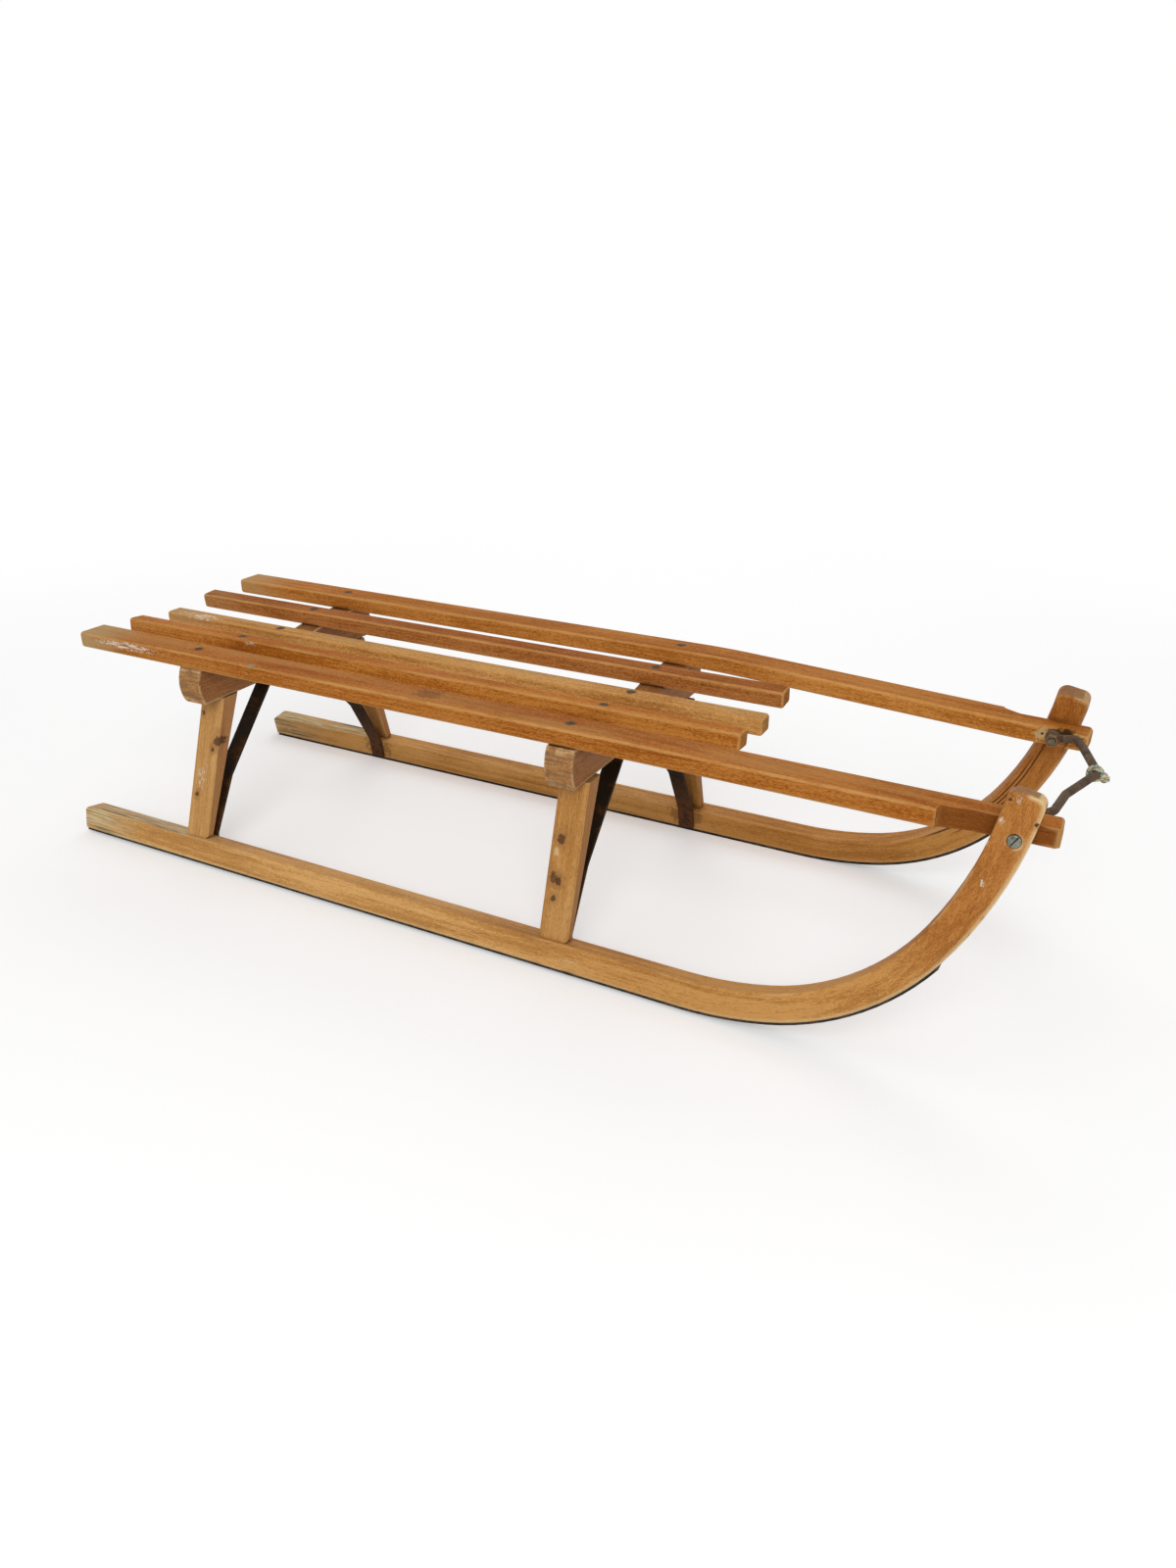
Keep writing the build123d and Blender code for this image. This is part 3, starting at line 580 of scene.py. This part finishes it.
# white paint scuffs on the rear ends, a blue-green smudge and a dark one on the near outer slat
paint = slats["slat_outer_right"]
paint.scuff((-0.43, -0.1395, 0.2235), (0.050, 0.012, 0.0042), (70, 450, 600), "f0e8d8", share=0.45)
paint.scuff((-0.37, -0.1395, 0.2215), (0.05, 0.012, 0.004), (120, 500, 900), "e8ddc8", share=0.58)
paint.stain((-0.2613, -0.137, 0.229), (0.005, 0.004, 0.003), "7d9a86", amount=0.5)
paint.stain((-0.061, -0.121, 0.229), (0.016, 0.012, 0.006), "4c2c17", amount=0.4, ragged=0.9)
paint = slats["slat_centre"]
paint.scuff((-0.455, -0.007, 0.220), (0.034, 0.008, 0.006), (50, 500, 500), "f0e8d8", share=0.46)
paint = slats["slat_inner_right"]
paint.scuff((-0.324, -0.0689, 0.2224), (0.01, 0.006, 0.0025), (200, 500, 900), "e6dac4", share=0.5)
# inside the far tip the varnish is torn off round the nut, and grease has run from the bow's eye
paint = slats["slat_outer_left"]
paint.stain((0.4555, 0.0895, 0.2112), (0.0085, 0.010, 0.0080), "cfae7c", amount=0.85, ragged=0.8)
paint.stain((0.4545, 0.0905, 0.2118), (0.0016, 0.006, 0.0016), "4a3420")
paint.stain((0.476, 0.0895, 0.2140), (0.015, 0.010, 0.0075), "2d2018", amount=0.9, ragged=0.8)

for name, paint in slats.items():
    if "outer" in name:
        # darker where the outer face is cut back for the runner's tip
        outward = paint.product(paint.split(paint.facing)[1], -1.0 if "right" in name else 1.0)
        ahead = paint.split(paint.place)[0]
        start = recess_starts[name]
        cut_back = paint.step(ahead, start - 0.001, start + 0.002)
        paint.tint(paint.product(paint.step(outward, 0.3, 0.6), cut_back, 0.7), "74411c")
        # the front end is knocked pale round its outline
        nose = paint.step(ahead, 0.480, 0.487)
        paint.tint(paint.product(paint.edges(), nose, 0.55), "c99d62")
    dress(name, paint.seal(glossy=0.5))


# The screws: slotted countersunk wood screws of plain steel, 8.5 mm heads, two through every slat
# into the beams and two through every brace. Gone dull brown, brighter only where they are rubbed.
screw = Iron("screw steel", skin="38281a", rust="54361b", bright="806845", rust_share=0.55, grit=3,
             shine=0.1, metal=0.0)
screw_steel = screw.complete(0.0001)
for row in ("slat_screws_rear", "slat_screws_front", "brace_screws_rear", "brace_screws_front"):
    dress(row, screw_steel)


# The tip bolts: one slotted M6 bolt a side through runner tip, slat and the bow's eye, with a
# washer and a hexagon nut inside. Zinc plate gone grey-green, scratched, browned at the inner end.
bolt = Finish("bolt steel", shine=0.5, metal=0.85)
clouds = bolt.noise(bolt.place, 260, detail=5, rough=0.65)
lines = bolt.noise(bolt.place, (300, 300, 1500), detail=3)
bolt.base = bolt.grade(clouds, ((0.35, "5f6056"), (0.5, "8d8f82"), (0.7, "adada0")))
bolt.tint(bolt.step(lines, 0.60, 0.70, 0.5), "c9cabf")
# painted shade: near black in the crevices within 3 mm of another surface
bolt.tint(bolt.step(bolt.openness(0.003), 0.75, 0.35), "2b2620")
inner_end = bolt.step(bolt.split(bolt.vector("ABSOLUTE", bolt.place))[1], 0.118, 0.110)
bolt.tint(bolt.product(inner_end, 0.8), "6f5f4a")
bolt.rough = bolt.maths("ADD", 0.30, bolt.product(clouds, 0.25))
bolt.relief = bolt.maths("ADD", clouds, lines)
bolt_steel = bolt.complete(0.00012)
nut = Iron("nut steel", skin="6f5238", rust="5f3d22", bright="b09c7c", rust_share=0.6, grit=3,
           metal=0.0)
nut_steel = nut.complete(0.0002)
# the washer is near black all over
washer = Iron("near black washer steel", skin="2a211a", rust="4a3423", bright="6b5d4c", grit=3)
near_black_washer_steel = washer.complete(0.0002)
for side in ("left", "right"):
    dress("tip_bolt_" + side, bolt_steel)
    dress("tip_nut_" + side, nut_steel)
    dress("tip_washer_" + side, near_black_washer_steel)


# The pull bow: one 7 mm iron rod bent by hand into a shallow bow, its ends flattened into eyes on
# the two tip bolts. It is rusted all over, grey-brown with paler and yellower patches, and pitted.
bow = Finish("bow iron", shine=0.2, metal=0.1)
clouds = bow.noise(bow.place, 55, detail=6, rough=0.65)
pits = bow.noise(bow.place, 480, detail=4, rough=0.7)
rusts = ((0.30, "35281f"), (0.46, "514032"), (0.60, "65513e"), (0.75, "7d6849"))
bow.base = bow.grade(clouds, rusts)
bow.tint(bow.step(pits, 0.55, 0.72, 0.7), "2b1f18")
bow.tint(bow.patches(bow.place, 130, 0.60, 0.72, amount=0.5), "8d7148")
bow.rough = bow.maths("ADD", 0.62, bow.product(pits, 0.25))
bow.relief = bow.maths("ADD", bow.product(clouds, 0.7), bow.product(pits, -0.6))
dress("pull_bow", bow.complete(0.0008))


# The cord knot: all that is left of the tow cord, 3.4 mm thick and laid from three strands. It
# makes three turns round the nose of the bow and is tied in front in a tight overhand knot with
# two short frayed ends. Cream gone grey-green with dirt, flecked with blue and green.
cord_thick = 0.0034
strand_radius = 0.00092
strand_sides = 9
lay = 0.008
fibres_a_strand = 9
fibre_sides = 5
fibre_radii = (0.00022, 0.00016, 0.00006)
fibre_reach = (0.0006, 0.0014)
fibre_scatter = 0.0003
bow_pitch = math.radians(12)
turn_radius = 0.0053
wraps = 3
steps_a_turn = 12
half_coil = 0.0031
slack = 0.0002
knot_ahead = 0.0062
knot_drop = 0.0034
loop_steps = 24
loop_size = 0.00112
loop_depth = 0.0017
knot_low, knot_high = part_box("cord_knot")
nose = (knot_low.x + turn_radius + slack + cord_thick / 2, 0, (knot_low.z + knot_high.z) / 2)
at_nose = Matrix.Translation(nose) @ Matrix.Rotation(-bow_pitch, 4, "Y")
dice = random.Random(3)


def places_along(points):
    """Close places along a smooth route through or near the points."""
    route = bpy.data.curves.new("route", "CURVE")
    route.dimensions = "3D"
    route.resolution_u = 6
    spline = route.splines.new("NURBS")
    spline.points.add(len(points) - 1)
    for node, point in zip(spline.points, points):
        node.co = (*(at_nose @ Vector(point)), 1)
    spline.order_u = 3
    spline.use_endpoint_u = True
    guide = bpy.data.objects.new("route", route)
    line = bpy.data.meshes.new_from_object(guide)
    places = [vertex.co.copy() for vertex in line.vertices]
    bpy.data.objects.remove(guide)
    bpy.data.curves.remove(route)
    bpy.data.meshes.remove(line)
    return places


def frames_along(places):
    """Two directions across the route at each place, turning as little as they can."""
    across = None
    frames = []
    for before, after in zip([places[0]] + places, places[1:] + [places[-1]]):
        ahead = (after - before).normalized()
        across = across or ahead.orthogonal()
        across = (across - across.dot(ahead) * ahead).normalized()
        frames.append((across, ahead.cross(across)))
    return frames


def tube(mesh, places, radii, sides):
    """A closed round tube with its own radius at each place."""
    turns = [2 * math.pi * k / sides for k in range(sides)]
    rings = []
    for place, radius, (across, up) in zip(places, radii, frames_along(places)):
        spokes = [math.cos(turn) * across + math.sin(turn) * up for turn in turns]
        rings.append([mesh.verts.new(place + radius * spoke) for spoke in spokes])
    for ring, following in zip(rings, rings[1:]):
        for k in range(sides):
            far = (k + 1) % sides
            mesh.faces.new((ring[k], ring[far], following[far], following[k])).smooth = True
    mesh.faces.new(rings[0][::-1])
    mesh.faces.new(rings[-1])


def fray(mesh, line):
    """Loose fibres standing out of the end of a strand."""
    tip = line[-1]
    for fibre in range(fibres_a_strand):
        out = (tip - line[-4]).normalized() * dice.uniform(*fibre_reach)
        loose = Vector([dice.gauss(0, fibre_scatter) for axis in range(3)])
        hair = [line[-2], tip + 0.5 * out + 0.3 * loose, tip + out + loose]
        tube(mesh, hair, fibre_radii, fibre_sides)


def laid_cord(mesh, points, frayed=False):
    """Three strands wound round each other along a route, frayed where it ends if asked."""
    places = places_along(points)
    frames = frames_along(places)
    for strand in range(3):
        turned = strand * 2 * math.pi / 3
        line = []
        for place, before, (across, up) in zip(places, [places[0]] + places, frames):
            turned += (place - before).length / lay * 2 * math.pi
            out = math.cos(turned) * across + math.sin(turned) * up
            line.append(place + strand_radius * out)
        tube(mesh, line, [strand_radius] * len(line), strand_sides)
        if frayed:
            fray(mesh, line)


def mesh_object(name, mesh):
    """A new object in the scene with this mesh, which is used up."""
    data = bpy.data.meshes.new(name)
    mesh.to_mesh(data)
    mesh.free()
    return add_object(name, data)


knot_mesh = bmesh.new()
half_way = wraps * steps_a_turn / 2
coil = [(knot_ahead, -0.001, -knot_drop)]
for step in range(wraps * steps_a_turn + 1):
    angle = 2 * math.pi * step / steps_a_turn
    sideways = half_coil * (step - half_way) / half_way
    coil.append((turn_radius * math.cos(angle), sideways, turn_radius * math.sin(angle)))
coil.append((knot_ahead, 0.001, -knot_drop))
laid_cord(knot_mesh, coil)
overhand = []
for step in range(loop_steps + 1):
    angle = 2 * math.pi * step / loop_steps
    overhand.append((knot_ahead + loop_depth * math.sin(3 * angle),
                     loop_size * (math.sin(angle) + 2 * math.sin(2 * angle)),
                     loop_size * (math.cos(angle) - 2 * math.cos(2 * angle)) - knot_drop))
laid_cord(knot_mesh, overhand)
drooping_stub = ((0, 0.0005, 0), (0.0020, 0.0012, -0.0018), (0.0030, 0.0020, -0.0036))
standing_stub = ((0, -0.0005, 0), (0.0022, -0.0012, 0), (0.0036, -0.0026, 0.0006))
for stub in (drooping_stub, standing_stub):
    laid_cord(knot_mesh, [(knot_ahead + x, y, z - knot_drop) for x, y, z in stub], frayed=True)
knot = mesh_object("cord_knot_laid", knot_mesh)

cord = Finish("knotted cord", shine=0.1)
soil = cord.noise(cord.place, 260, detail=4, rough=0.6)
cord.base = cord.grade(soil, ((0.32, "8d8257"), (0.46, "c8b987"), (0.62, "dfd8bf")))
blue = cord.patches(cord.place, 380, 0.58, 0.62, detail=1)
cord.tint(cord.product(blue, 0.85), "2b568c")
elsewhere = cord.vector("ADD", cord.place, (0.31, 0.17, 0.23))
green = cord.patches(elsewhere, 330, 0.62, 0.66, detail=1)
cord.tint(cord.product(green, 0.7), "4f8f88")
hairs = cord.noise(cord.place, 2600, detail=3, rough=0.7)
cord.tint(cord.step(hairs, 0.50, 0.72, 0.4), "6b6142")
# painted shade: near black in the gaps between the strands and the turns
cord.tint(cord.step(cord.openness(0.0022), 0.70, 0.25, 0.9), "241d12")
cord.rough = cord.maths("ADD", 0.75, cord.product(hairs, 0.2))
cord.relief = hairs
knot.data.materials.append(cord.complete(0.0003))
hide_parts("cord_knot")
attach(knot, "bow")


# The studio: a white floor in a white room, a large soft lamp high in front, a weaker one behind.
# The floor is white to the eye, keeps the sled's shadow and fades into the room further out.
def aimed_lamp(name, place, width, watts):
    """A square lamp aimed at the floor under the sled."""
    lamp = bpy.data.lights.new(name, "AREA")
    lamp.size = width
    lamp.energy = watts
    stand = add_object(name, lamp)
    stand.location = place
    stand.rotation_euler = (-Vector(place)).to_track_quat("-Z", "Y").to_euler()


aimed_lamp("front lamp", (1.1, -2.5, 2.2), width=1.8, watts=44)
aimed_lamp("back lamp", (-0.6, 1.6, 1.8), width=1.6, watts=10)

# the room is white where it is seen or mirrored, and lights the sled at a little over half that
room_light = 0.55
room = bpy.data.worlds.new("room")
room.use_nodes = True
bpy.context.scene.world = room
tree = room.node_tree
rays = add_node(tree, "LightPath", {}).node.outputs
seen = rays["Is Camera Ray"]
for kind in ("Is Glossy Ray", "Is Transmission Ray"):
    seen = add_node(tree, "Math", {0: seen, 1: rays[kind]}, operation="MAXIMUM")
brightness = add_node(tree, "MapRange", {"Value": seen, "To Min": room_light, "To Max": 1.0})
sky = tree.nodes["Background"]
sky.inputs["Color"].default_value = (1, 1, 1, 1)
tree.links.new(brightness, sky.inputs["Strength"])

floor_glow = 0.3
fade_from, fade_to = 0.8, 1.8
floor_mesh = bmesh.new()
bmesh.ops.create_grid(floor_mesh, x_segments=1, y_segments=1, size=6)
floor = mesh_object("floor", floor_mesh)
paper = Finish("white floor", shine=0.1)
paper.shader.inputs["Base Color"].default_value = (0.8, 0.8, 0.8, 1)
paper.shader.inputs["Roughness"].default_value = 0.9
paper.shader.inputs["Emission Color"].default_value = (1, 1, 1, 1)
seen = paper.add("LightPath", {}, output="Is Camera Ray")
paper.link(paper.product(seen, floor_glow), "Emission Strength")
from_middle = paper.vector("LENGTH", paper.place, output="Value")
faded = paper.step(from_middle, fade_from, fade_to)
white = paper.add("Emission", {})
blend = paper.add("MixShader", {0: faded, 1: paper.shader.outputs[0], 2: white})
paper.tree.links.new(blend, paper.tree.nodes["Material Output"].inputs["Surface"])
floor.data.materials.append(paper.material)

bpy.context.scene.view_settings.view_transform = "Standard"
